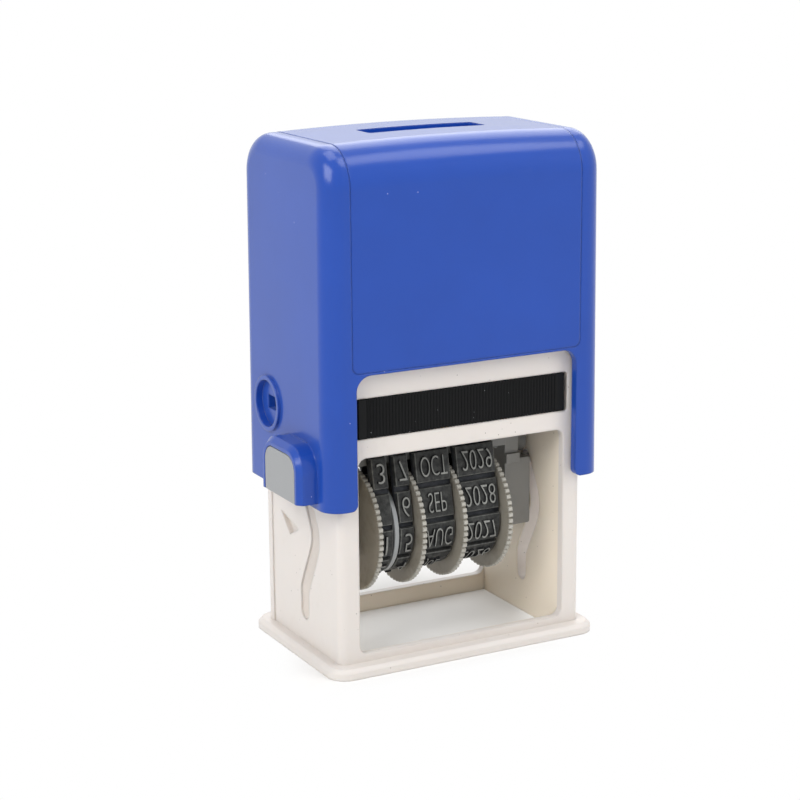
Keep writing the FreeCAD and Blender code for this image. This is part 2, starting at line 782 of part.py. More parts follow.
def toothed_disc(x0, x1):
    """A thumb disc with flat teeth round its rim and a narrow notch between them."""
    pitch = 2 * math.pi / tooth_count
    root_r = disc_r - tooth_height
    corners = ((disc_r, -tooth_land_share), (disc_r, tooth_land_share), (root_r, 1))
    points = []
    for i in range(tooth_count):
        for r, share in corners:
            points.append(polar(r, pitch * (i + share / 2), wheel_z) + Vec(x0, 0, 0))
    return prism(points, Vec(x1 - x0, 0, 0))


def make_wheel(disc_x0, hub_x0):
    """A thumb wheel: the toothed disc and the hub that lies under its band, to its left or right."""
    disc = toothed_disc(disc_x0, disc_x0 + disc_thickness)
    hub_x1 = disc_x0 + disc_thickness / 2
    hub = rod(0, wheel_z, hub_r, min(hub_x0, hub_x1), max(hub_x0, hub_x1))
    bore = rod(0, wheel_z, axle_r + fit_gap, -frame_half, frame_half)
    return joined(disc, hub).cut(bore)


def disc_places():
    """The left face of each disc, from the left cheek along the axle to the year wheel."""
    x = stack_gap - cheek_insides["left"]
    places = [x]
    for space in band_spaces:
        x += disc_thickness + space
        places.append(x)
    return places


def wheel_stack():
    """Every wheel and band by name, packed from left to right along the axle."""
    tens, separator, units, month, year = disc_places()
    places = {
        "day_tens": (tens, tens + disc_thickness, separator),
        "day_units": (units, separator + disc_thickness, units),
        "month": (month, units + disc_thickness, month),
        "year": (year, month + disc_thickness, year),
    }
    pieces = {}
    for name, (disc_x0, x0, x1) in places.items():
        pieces["band_" + name] = make_band(x0 + side_gap, x1 - side_gap)
        hub_end = x1 - hub_lip if disc_x0 < x0 else x0 + hub_lip
        pieces["wheel_" + name] = make_wheel(disc_x0, hub_end)
    disc = rod(0, wheel_z, separator_r, separator, separator + disc_thickness)
    pieces["separator_disc"] = disc.cut(rod(0, wheel_z, axle_r, -frame_half, frame_half))
    return {name: carried(piece) for name, piece in pieces.items()}


def make_spacer():
    """The bush that fills the axle between the year wheel and the right cheek."""
    x1 = cheek_insides["right"]
    x0 = x1 - spacer_length
    bush = rod(0, wheel_z, spacer_r, x0, x1)
    return carried(bush.cut(rod(0, wheel_z, axle_r, x0 - overrun, x1 + overrun)))


def grip_form(front, back, z0, z1):
    """The cartridge's grip, with fine ribs down its front."""
    pitch = (grip_half - grip_rib_margin) * 2 / grip_rib_count
    points = [Vec(-grip_half, back, z0), Vec(-grip_half, front, z0)]
    for i in range(grip_rib_count):
        x = grip_rib_margin - grip_half + pitch * i
        points += [Vec(x, front, z0), Vec(x + pitch / 2, front + grip_rib_depth, z0)]
    points += [Vec(grip_half - grip_rib_margin, front, z0), Vec(grip_half, front, z0)]
    return prism(points + [Vec(grip_half, back, z0)], Vec(0, 0, z1 - z0))


def make_cartridge():
    """The ink cartridge: a ribbed grip in front and the tray that holds the felt."""
    z0 = felt_bottom
    z1 = slot_top - slide_gap
    front = -frame_y - grip_proud
    grip_back = front + grip_depth
    grip = grip_form(front, grip_back, z0, z1)
    tray = block(-tray_half, tray_half, grip_back - grip_depth / 2, frame_y, z0, z1)
    return joined(grip, tray).cut(felt_block(overrun))


def felt_block(below):
    """The space that the felt fills, reaching further down by an amount."""
    x = tray_half - felt_wall
    y = felt_depth / 2
    return block(-x, x, -y, y, felt_bottom - below, felt_bottom + felt_thickness)


def export(name, shape):
    """Write one node and report it."""
    shape.exportStep("parts/" + name + ".step")
    print(name, len(shape.Solids), round(shape.Volume, 2), shape.isValid())


def main():
    os.makedirs("parts", exist_ok=True)
    print("stroke", round(stroke, 3), "pivot", round(pivot_z, 3), "wheel axle", round(wheel_z, 3))
    print("cell pitch", round(2 * belt_half_length(belt_thickness + cell_height) / cell_count, 3))
    export("base_frame", make_frame())
    export("cap_body", make_cap_body())
    export("cap_cover", make_cap_cover())
    export("spring_bridge", make_spring_bridge())
    export("return_spring", make_return_spring())
    export("print_platen", make_platen())
    export("ink_cartridge", make_cartridge())
    export("ink_felt", felt_block(0))
    axle_half = pad_outside - axle_sunk
    export("wheel_axle", carried(rod(0, wheel_z, axle_r, -axle_half, axle_half)))
    export("spacer_bush", make_spacer())
    for name, piece in wheel_stack().items():
        export(name, piece)
    for side, cheek_inside in cheek_insides.items():
        cam_end = frame_half - cam_pin_sunk
        carried_pieces = {
            "carriage_cheek": make_cheek(cheek_inside),
            "pivot_pin": carried(rod(0, pivot_z, pivot_pin_r, cheek_inside, pad_outside)),
            "cam_pin": carried(rod(*cam_pin_place(), cam_pin_r, cheek_outside, cam_end)),
            "drive_arm": make_drive_arm(),
        }
        for name, piece in carried_pieces.items():
            export(name + "_" + side, piece if side == "right" else mirrored(piece))
        for name, piece in {"ring_plug": make_ring_plug(), "lock_button": make_lock_button()}.items():
            export(name + "_" + side, piece if side == "right" else turned(piece))


main()
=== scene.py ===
"""Self-inking date stamp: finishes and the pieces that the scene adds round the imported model.

Lengths in the classes are millimetres, as on a maker's drawing, and become metres where a mesh,
a lamp or a texture is made. +Z is up along the press and -Y is the front, with the ribbed grip.
"""

import logging
from dataclasses import dataclass, field
from enum import Enum, IntEnum
from math import asin, atan2, copysign, cos, hypot, pi, radians, sin, tau
from typing import Any, Sequence

import bmesh
import bpy
from mathutils import Matrix, Vector


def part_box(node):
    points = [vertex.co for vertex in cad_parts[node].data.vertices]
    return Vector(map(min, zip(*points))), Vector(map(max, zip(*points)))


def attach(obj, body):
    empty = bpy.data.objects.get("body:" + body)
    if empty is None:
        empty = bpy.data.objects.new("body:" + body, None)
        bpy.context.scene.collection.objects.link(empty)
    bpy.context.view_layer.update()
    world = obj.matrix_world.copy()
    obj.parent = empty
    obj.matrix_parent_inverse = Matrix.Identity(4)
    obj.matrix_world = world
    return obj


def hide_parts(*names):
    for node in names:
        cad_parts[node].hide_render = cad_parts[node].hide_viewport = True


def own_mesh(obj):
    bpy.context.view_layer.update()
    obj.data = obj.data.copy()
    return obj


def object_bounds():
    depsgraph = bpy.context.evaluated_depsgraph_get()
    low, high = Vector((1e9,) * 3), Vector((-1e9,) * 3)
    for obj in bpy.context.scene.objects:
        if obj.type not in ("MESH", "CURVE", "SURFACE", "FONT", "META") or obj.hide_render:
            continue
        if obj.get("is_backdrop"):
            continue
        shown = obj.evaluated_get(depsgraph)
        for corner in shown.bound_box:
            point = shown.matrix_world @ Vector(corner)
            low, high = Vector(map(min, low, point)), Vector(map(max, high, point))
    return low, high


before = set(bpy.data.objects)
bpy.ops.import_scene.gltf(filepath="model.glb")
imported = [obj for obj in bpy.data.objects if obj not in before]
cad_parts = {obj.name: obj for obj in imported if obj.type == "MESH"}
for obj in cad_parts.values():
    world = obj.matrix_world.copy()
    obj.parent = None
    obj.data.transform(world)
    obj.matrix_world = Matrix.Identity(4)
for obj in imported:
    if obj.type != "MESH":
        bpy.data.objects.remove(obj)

LOG = logging.getLogger("date_stamp")
CAD_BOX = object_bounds()
MM = 0.001

Material = bpy.types.Material
Mesh = bmesh.types.BMesh
Node = bpy.types.Node
Object = bpy.types.Object
Socket = bpy.types.NodeSocket
Tree = bpy.types.NodeTree
Inputs = dict[str | int, Any]


def linear(shade: str) -> tuple[float, float, float, float]:
    """Turns an sRGB hex colour into the opaque linear colour that the shaders use.

    Args:
        shade: the colour as "#rrggbb".

    Returns:
        The linear red, green and blue, and an alpha of 1.
    """
    parts = [int(shade[i:i + 2], 16) / 255 for i in (1, 3, 5)]
    red, green, blue = (c / 12.92 if c <= 0.04045 else ((c + 0.055) / 1.055) ** 2.4 for c in parts)
    return red, green, blue, 1.0


def add(
    tree: Tree,
    kind: str,
    settings: Inputs | None = None,
    links: Inputs | None = None,
) -> Node:
    """Adds a shader node with its settings and the links into it.

    Args:
        tree: the node tree.
        kind: the node's type name.
        settings: values by input or property name, or by input number.
        links: source sockets by input name or number.

    Returns:
        The new node.
    """
    made = tree.nodes.new(kind)
    for key, value in (settings or {}).items():
        if isinstance(key, int) or key in made.inputs:
            made.inputs[key].default_value = value
        else:
            setattr(made, key, value)
    for key, source in (links or {}).items():
        tree.links.new(source, made.inputs[key])
    return made


def operate(operation: str, first: Socket, second: Socket | float = 0.0) -> Socket:
    """Works on one or two values with a maths node.

    Args:
        operation: what the node does, such as "MULTIPLY".
        first: the first value.
        second: the second value, as a socket or a number.

    Returns:
        The outcome.
    """
    settings: Inputs = {"operation": operation}
    links: Inputs = {0: first}
    (links if isinstance(second, Socket) else settings)[1] = second
    return add(first.id_data, "ShaderNodeMath", settings, links).outputs[0]


def any_ray(tree: Tree, *kinds: str) -> Socket:
    """Tells whether a ray is of one of some kinds.

    Args:
        tree: the node tree.
        kinds: the kinds, such as "Camera".

    Returns:
        1 for such a ray, 0 for any other.
    """
    rays = add(tree, "ShaderNodeLightPath").outputs
    found = rays[f"Is {kinds[0]} Ray"]
    for kind in kinds[1:]:
        found = operate("MAXIMUM", found, rays[f"Is {kind} Ray"])
    return found


def grain(size_mm: float) -> float:
    """Texture scale at which one feature measures size_mm on the object."""
    return 1 / (size_mm * MM)


def ramp(
    value: Socket, low: float = 0.0, high: float = 1.0, start: float = 0.0, end: float = 1.0
) -> Socket:
    """Stretches a range of a value to another range, clamped.

    Args:
        value: the value to stretch.
        low: the value that becomes start.
        high: the value that becomes end.
        start: what low becomes.
        end: what high becomes.

    Returns:
        The stretched value.
    """
    settings = {"From Min": low, "From Max": high, "To Min": start, "To Max": end}
    return add(value.id_data, "ShaderNodeMapRange", settings, {"Value": value}).outputs["Result"]


def blend_colours(share: Socket, first: Socket | str, second: Socket | str) -> Socket:
    """Mixes two colours by a share.

    Args:
        share: 0 for the first colour, 1 for the second.
        first: a colour socket or a hex colour.
        second: a colour socket or a hex colour.

    Returns:
        The mixed colour.
    """
    settings: Inputs = {"data_type": "RGBA"}
    links: Inputs = {0: share}
    for number, colour in ((6, first), (7, second)):
        if isinstance(colour, str):
            settings[number] = linear(colour)
        else:
            links[number] = colour
    return add(share.id_data, "ShaderNodeMix", settings, links).outputs[2]


def own_place(tree: Tree) -> Socket:
    """The point on the object, in its own metres, so that a pattern rides with the piece."""
    return add(tree, "ShaderNodeTexCoord").outputs["Object"]


def noise(tree: Tree, size_mm: float, detail: float = 3.0, rough: float = 0.55) -> Socket:
    """Soft noise whose patches measure size_mm.

    Args:
        tree: the node tree.
        size_mm: the size of one patch.
        detail: how many finer layers it has.
        rough: how strong the finer layers are.

    Returns:
        The noise, about 0.5 on average.
    """
    settings = {"Scale": grain(size_mm), "Detail": detail, "Roughness": rough}
    made = add(tree, "ShaderNodeTexNoise", settings, {"Vector": own_place(tree)})
    return made.outputs["Fac"]


def specks(tree: Tree, spacing_mm: float, radius_mm: float, core: float = 0.6) -> Socket:
    """Scattered small dots.

    Args:
        tree: the node tree.
        spacing_mm: the mean distance between dots in the solid.
        radius_mm: the radius of a dot.
        core: the share of the radius inside which the dot is full.

    Returns:
        1 on a dot, 0 elsewhere.
    """
    links = {"Vector": own_place(tree)}
    made = add(tree, "ShaderNodeTexVoronoi", {"Scale": grain(spacing_mm)}, links)
    edge = radius_mm / spacing_mm
    return ramp(made.outputs["Distance"], edge, edge * core)


def cover(
    shader: Node, colour: Socket | str, height: Socket, depth_mm: float, edge_mm: float = 0.0
) -> None:
    """Gives the shader its colour and a bumpy normal, over softened edges if they are wanted.

    Args:
        shader: the principled shader.
        colour: a colour socket or a hex colour.
        height: the height of the surface, 0..1.
        depth_mm: how deep the relief is.
        edge_mm: the radius to which sharp edges look rounded, or 0.
    """
    tree = shader.id_data
    if isinstance(colour, str):
        shader.inputs["Base Color"].default_value = linear(colour)
    else:
        tree.links.new(colour, shader.inputs["Base Color"])
    links = {"Height": height}
    if edge_mm:
        bevel = add(tree, "ShaderNodeBevel", {"samples": 4, "Radius": edge_mm * MM})
        links["Normal"] = bevel.outputs["Normal"]
    bump = add(tree, "ShaderNodeBump", {"Distance": depth_mm * MM, "Strength": 1.0}, links)
    tree.links.new(bump.outputs["Normal"], shader.inputs["Normal"])


class Slot(Enum):
    """The record's material slot names; no piece in this script takes its finish from them."""

    CAP = "cap_plastic"
    FRAME = "frame_plastic"
    RUBBER = "band_rubber"
    SPRING = "spring_steel"
    FELT = "felt"


class Side(Enum):
    """The two sides of the stamp, seen from the front."""

    LEFT = "left"
    RIGHT = "right"


class Rubber(IntEnum):
    """The material index of each part of a date band."""

    BELT = 0
    CELL = 1
    FACE = 2
    FLANK = 3
    EDGE = 4


@dataclass(frozen=True)
class Finish:
    """What every finish shares: a name and a surface shader."""

    name: str

    def material(self) -> Material:
        """Builds the finish, which each kind does in its own way."""
        raise NotImplementedError(self.name)

    def start(self, settings: Inputs) -> tuple[Material, Node]:
        """Makes an empty material with one principled shader.

        Args:
            settings: values for the shader's sockets.

        Returns:
            The material and its shader.
        """
        material = bpy.data.materials.new(self.name)
        material.use_nodes = True
        tree = material.node_tree
        tree.nodes.clear()
        shader = add(tree, "ShaderNodeBsdfPrincipled", settings)
        add(tree, "ShaderNodeOutputMaterial", {}, {"Surface": shader.outputs[0]})
        return material, shader


@dataclass(frozen=True)
class GlossMouldedAbs(Finish):
    """Coloured ABS moulded in a polished tool: deep colour, a soft mirror, faint sink ripples."""

    shade: str
    rough: float = 0.2
    ripple_mm: float = 5.0
    ripple_depth_mm: float = 0.012
    flow_mm: float = 16.0
    drift: float = 0.05
    dust: str = "#c8d2ee"
    dust_mm: float = 0.07
    dust_gap_mm: float = 3.6
    smear_mm: float = 7.0
    gloss: float = 0.38
    haze: float = 0.18
    haze_shade: str = "#f0fcf0"
    edge_mm: float = 0.35

    def material(self) -> Material:
        """Builds the finish.

        Returns:
            The material.
        """
        # A film of fine dust and handling scatters pale light where the eye skims the surface.
        made, shader = self.start({
            "IOR": 1.53, "Specular IOR Level": self.gloss, "Sheen Weight": self.haze,
            "Sheen Roughness": 0.4, "Sheen Tint": linear(self.haze_shade),
        })
        tree = made.node_tree
        # Colour drifts very slightly where the melt flowed, and dust shows as pale specks.
        flow = ramp(noise(tree, self.flow_mm), low=0.3, high=0.7)
        body = add(
            tree, "ShaderNodeHueSaturation", {"Color": linear(self.shade)},
            {"Value": ramp(flow, start=1 - self.drift, end=1 + self.drift)},
        ).outputs["Color"]
        dots = specks(tree, self.dust_gap_mm, self.dust_mm)
        dusty = blend_colours(dots, body, self.dust)
        # Handling leaves the gloss uneven, so highlights break up softly at their rims.
        smear = noise(tree, self.smear_mm, detail=5.0)
        uneven = ramp(smear, start=self.rough * 0.8, end=self.rough * 1.3)
        tree.links.new(uneven, shader.inputs["Roughness"])
        ripple = noise(tree, self.ripple_mm, detail=2.0, rough=0.4)
        cover(shader, dusty, ripple, self.ripple_depth_mm, self.edge_mm)
        return made


@dataclass(frozen=True)
class SatinMouldedAbs(Finish):
    """ABS from a fine-etched tool: even satin, a hair of translucency, small scuffs and specks."""

    shade: str
    mark: str
    rough: float = 0.42
    rough_patch_mm: float = 4.0
    gloss: float = 0.5
    etch_mm: float = 0.35
    etch_depth_mm: float = 0.006
    edge_mm: float = 0.12
    glow: float = 0.0
    glow_spread: tuple[float, float, float] = (1.0, 0.7, 0.5)
    scuff_share: float = 0.25
    scuff_mm: float = 9.0
    speck: str = ""
    speck_mm: float = 0.07
    speck_gap_mm: float = 3.1
    # The next three settings paint shade in a warm brown into inner corners and sheltered walls.
    dirt_and_painted_shade: str = ""
    painted_shade_reach_mm: float = 4.0
    painted_shade_share: float = 0.6
    # The next two settings paint a paler, warmer light onto the walls round the part's hollow.
    inside: str = ""
    inside_half: tuple[float, float] = (17.2, 11.0)

    def material(self) -> Material:
        """Builds the finish.

        Returns:
            The material.
        """
        made, shader = self.start({
            "IOR": 1.5, "Specular IOR Level": self.gloss, "Subsurface Weight": self.glow,
            "Subsurface Scale": 0.8 * MM, "Subsurface Radius": self.glow_spread,
        })
        tree = made.node_tree
        cloud = noise(tree, self.scuff_mm, detail=6.0, rough=0.7)
        scuffs = ramp(cloud, low=0.56, high=0.8)
        faint = operate("MULTIPLY", scuffs, self.scuff_share)
        body = blend_colours(faint, self.shade, self.mark)
        if self.inside:
            # Painted light: walls that face each other round the hollow of the part take a paler,
            # warmer colour, standing in for the warm light that bounces about inside it.
            body = blend_colours(self.sheltered(tree), body, self.inside)
        if self.dirt_and_painted_shade:
            # Painted shade: inner corners and sheltered walls are darkened towards a warm brown
            # wherever ambient occlusion finds them closed in.
            shelter = add(
                tree, "ShaderNodeAmbientOcclusion",
                {"samples": 4, "only_local": True, "Distance": self.painted_shade_reach_mm * MM},
            ).outputs["AO"]
            painted_corner_shade = ramp(shelter, low=0.75, high=0.0, end=self.painted_shade_share)
            body = blend_colours(painted_corner_shade, body, self.dirt_and_painted_shade)
        dots = specks(tree, self.speck_gap_mm, self.speck_mm)
        dotted = blend_colours(dots, body, self.speck or self.mark)
        patches = noise(tree, self.rough_patch_mm, detail=4.0)
        uneven = ramp(patches, start=self.rough * 0.85, end=self.rough * 1.25)
        tree.links.new(uneven, shader.inputs["Roughness"])
        # The etch is drawn a little coarser than real, or it would vanish at this distance.
        etch = noise(tree, self.etch_mm, detail=2.0)
        cover(shader, dotted, etch, self.etch_depth_mm, self.edge_mm)
        return made

    def sheltered(self, tree: Tree) -> Socket:
        """1 on the walls that face the hollow of the part, 0 on its outside.

        Args:
            tree: the node tree.

        Returns:
            The share.
        """
        axes = add(tree, "ShaderNodeSeparateXYZ", {}, {0: own_place(tree)}).outputs
        near = [
            operate("LESS_THAN", operate("ABSOLUTE", axes[number]), half * MM)
            for number, half in enumerate(self.inside_half)
        ]
        return operate("MULTIPLY", *near)


@dataclass(frozen=True)
class AcetalWheel(Finish):
    """Acetal thumb wheel: dull grey, with the teeth round the rim painted paler as a highlight."""

    shade: str
    tooth_highlight: str
    # Here the colour is only the ink mist and finger dirt in patches on the disc.
    dirt_and_painted_shade: str
    axle_y: float
    axle_z: float
    root_r: float = 9.12
    rim_r: float = 9.46
    dirt_mm: float = 2.4
    rough_patch_mm: float = 1.5
    etch_mm: float = 0.4
    etch_depth_mm: float = 0.008
    edge_mm: float = 0.08

    def material(self) -> Material:
        """Builds the finish.

        Returns:
            The material.
        """
        made, shader = self.start({"IOR": 1.48})
        tree = made.node_tree
        centre = (0.0, -self.axle_y * MM, -self.axle_z * MM)
        moved = add(
            tree, "ShaderNodeMapping", {"Location": centre}, {"Vector": own_place(tree)}
        ).outputs[0]
        flat = add(
            tree, "ShaderNodeVectorMath", {"operation": "MULTIPLY", 1: (0.0, 1.0, 1.0)}, {0: moved}
        ).outputs[0]
        radius = add(tree, "ShaderNodeVectorMath", {"operation": "LENGTH"}, {0: flat})
        teeth = ramp(radius.outputs["Value"], self.root_r * MM, self.rim_r * MM)
        # Ink mist and finger grime sit in patches on the flat of the disc.
        cloud = noise(tree, self.dirt_mm, detail=6.0, rough=0.65)
        disc = blend_colours(ramp(cloud, low=0.5, high=0.85), self.shade, self.dirt_and_painted_shade)
        # Painted highlight: the teeth round the rim take a paler colour, as if catching the light.
        highlit_teeth = blend_colours(teeth, disc, self.tooth_highlight)
        patches = noise(tree, self.rough_patch_mm)
        uneven = ramp(patches, start=0.38, end=0.55)
        tree.links.new(uneven, shader.inputs["Roughness"])
        etch = noise(tree, self.etch_mm, detail=2.0)
        cover(shader, highlit_teeth, etch, self.etch_depth_mm, self.edge_mm)
        return made


@dataclass(frozen=True)
class MouldedRubber(Finish):
    """Vulcanised rubber: matt, mottled by dried ink, paler where the pad and paper rub it."""

    shade: str
    ink: str
    ink_share: float = 0.5
    rough: float = 0.62
    stain_mm: float = 0.9
    pebble_mm: float = 0.25
    pebble_depth_mm: float = 0.02

    def material(self) -> Material:
        """Builds the finish.

        Returns:
            The material.
        """
        made, shader = self.start({"IOR": 1.52, "Specular IOR Level": 0.4})
        tree = made.node_tree
        # The more ink the rubber holds, the further its stains reach out.
        cloud = noise(tree, self.stain_mm, detail=6.0, rough=0.7)
        stain = ramp(cloud, low=0.5 - self.ink_share / 3, high=0.62)
        share = operate("MULTIPLY", stain, self.ink_share)
        inked = blend_colours(share, self.shade, self.ink)
        uneven = ramp(stain, start=self.rough * 0.8, end=self.rough * 1.2)
        tree.links.new(uneven, shader.inputs["Roughness"])
        cover(shader, inked, noise(tree, self.pebble_mm), self.pebble_depth_mm)
        return made


@dataclass(frozen=True)
class DrawnSteel(Finish):
    """Drawn steel wire or bar: bright, with fine lines along its length."""

    shade: str
    line_mm: float = 0.06
    line_depth_mm: float = 0.004

    def material(self) -> Material:
        """Builds the finish.

        Returns:
            The material.
        """
        made, shader = self.start({"Metallic": 1.0})
        tree = made.node_tree
        # Noise squeezed along the wire draws out into lines.
        settings = {"Scale": (0.08, 1.0, 1.0)}
        drawn = add(tree, "ShaderNodeMapping", settings, {"Vector": own_place(tree)}).outputs[0]
        settings = {"Scale": grain(self.line_mm), "Detail": 2.0}
        lines = add(tree, "ShaderNodeTexNoise", settings, {"Vector": drawn}).outputs["Fac"]
        uneven = ramp(lines, start=0.22, end=0.42)
        tree.links.new(uneven, shader.inputs["Roughness"])
        cover(shader, self.shade, lines, self.line_depth_mm)
        return made


@dataclass(frozen=True)
class PressedFelt(Finish):
    """Pressed wool felt soaked with ink: near black, with a short nap that takes no highlight."""

    shade: str
    nap: str
    fibre_mm: float = 0.3
    nap_mm: float = 0.12

    def material(self) -> Material:
        """Builds the finish.

        Returns:
            The material.
        """
        settings = {"Roughness": 0.9, "Sheen Weight": 0.25, "Sheen Roughness": 0.5, "IOR": 1.45}
        made, shader = self.start(settings)
        tree = made.node_tree
        fibre = noise(tree, self.fibre_mm, detail=6.0, rough=0.75)
        wool = blend_colours(ramp(fibre, low=0.4, high=0.75), self.shade, self.nap)
        cover(shader, wool, fibre, self.nap_mm)
        return made


def hang(name: str, data: bpy.types.ID) -> Object:
    """Puts an object with some data into the scene.

    Args:
        name: the object's name.
        data: its mesh, curve, lamp or camera.

    Returns:
        The object.
    """
    made = bpy.data.objects.new(name, data)
    bpy.context.scene.collection.objects.link(made)
    return made


def mesh_object(name: str, bm: Mesh, materials: Sequence[Material]) -> Object:
    """Turns a finished bmesh into an object with its materials.

    Args:
        name: the piece's name.
        bm: the mesh, which is freed.
        materials: the materials by face index.

    Returns:
        The object, linked to the scene.
    """
    mesh = bpy.data.meshes.new(name)
    bm.to_mesh(mesh)
    bm.free()
    for material in materials:
        mesh.materials.append(material)
    return hang(name, mesh)


def skin(bm: Mesh, rings: Sequence[Sequence[Any]], smooth: bool, closed: bool = True) -> None:
    """Joins closed rings of vertices with quads.

    Args:
        bm: the mesh.
        rings: rings of equal length.
        smooth: whether the quads are shaded smooth.
        closed: whether the last ring joins the first; otherwise both ends get a flat face.
    """
    for ring, following in zip(rings, [*rings[1:], rings[0]] if closed else rings[1:]):
        for i in range(len(ring)):
            j = (i + 1) % len(ring)
            bm.faces.new((ring[i], ring[j], following[j], following[i])).smooth = smooth
    if not closed:
        bm.faces.new(rings[0][::-1])
        bm.faces.new(rings[-1])


@dataclass
class BandPath:
    """The line on which every date band runs: over the platen, down, and round its wheel.

    Distances are measured on the print face from the middle of the platen, positive down the
    front. Heights are measured from the inside of the band.
    """

    middle_y: float = -1.1
    wheel_z: float = 18.45
    wheel_r: float = 5.9
    nose_z: float = 31.8
    nose_r: float = 1.0
    flat_half: float = 2.2
    print_height: float = 1.8

    def lean(self) -> float:
        """Works out how far the straight run leans back.

        Returns:
            The angle above the horizontal that it faces.
        """
        rise = self.nose_z - self.wheel_z
        length = hypot(self.flat_half, rise)
        return atan2(rise, self.flat_half) - pi / 2 + asin(
            (self.wheel_r - self.nose_r) / length
        )

    def facing(self, angle: float) -> Vector:
        """The way that the front of the band faces at an angle above the horizontal."""
        return Vector((0, -cos(angle), sin(angle)))

    def ends(self, height: float) -> tuple[Vector, Vector]:
        """The upper and lower end of the front straight run at a height.

        Args:
            height: the height above the inside of the band.

        Returns:
            Both points, x left at zero.
        """
        facing = self.facing(self.lean())
        nose = Vector((0, self.middle_y - self.flat_half, self.nose_z))
        wheel = Vector((0, self.middle_y, self.wheel_z))
        return nose + facing * (self.nose_r + height), wheel + facing * (self.wheel_r + height)

    def half_length(self) -> float:
        """Measures the band on its print face.

        Returns:
            Half of the way round.
        """
        high, low = self.ends(self.print_height)
        lean = self.lean()
        nose = (self.nose_r + self.print_height) * (pi / 2 - lean)
        wheel = (self.wheel_r + self.print_height) * (pi / 2 + lean)
        return self.flat_half + nose + (high - low).length + wheel

    def point(self, distance: float, height: float) -> Vector:
        """A point of the band in the YZ plane.

        Args:
            distance: the way along the print face from the middle of the platen.
            height: the height above the inside of the band.

        Returns:
            The point, x left at zero.
        """
        half = self.half_length()
        distance = (distance + half) % (2 * half) - half
        left = abs(distance)
        lean = self.lean()
        nose_print = self.nose_r + self.print_height
        nose_way = nose_print * (pi / 2 - lean)
        high, low = self.ends(height)
        top, foot = self.ends(self.print_height)
        run = (top - foot).length
        if left < self.flat_half:
            found = Vector((0, self.middle_y - left, self.nose_z + self.nose_r + height))
        elif left < self.flat_half + nose_way:
            angle = pi / 2 - (left - self.flat_half) / nose_print
            centre = Vector((0, self.middle_y - self.flat_half, self.nose_z))
            found = centre + self.facing(angle) * (self.nose_r + height)
        elif left < self.flat_half + nose_way + run:
            found = high.lerp(low, (left - self.flat_half - nose_way) / run)
        else:
            way = left - self.flat_half - nose_way - run
            angle = lean - way / (self.wheel_r + self.print_height)
            centre = Vector((0, self.middle_y, self.wheel_z))
            found = centre + self.facing(angle) * (self.wheel_r + height)
        if distance < 0:
            found.y = 2 * self.middle_y - found.y
        return found


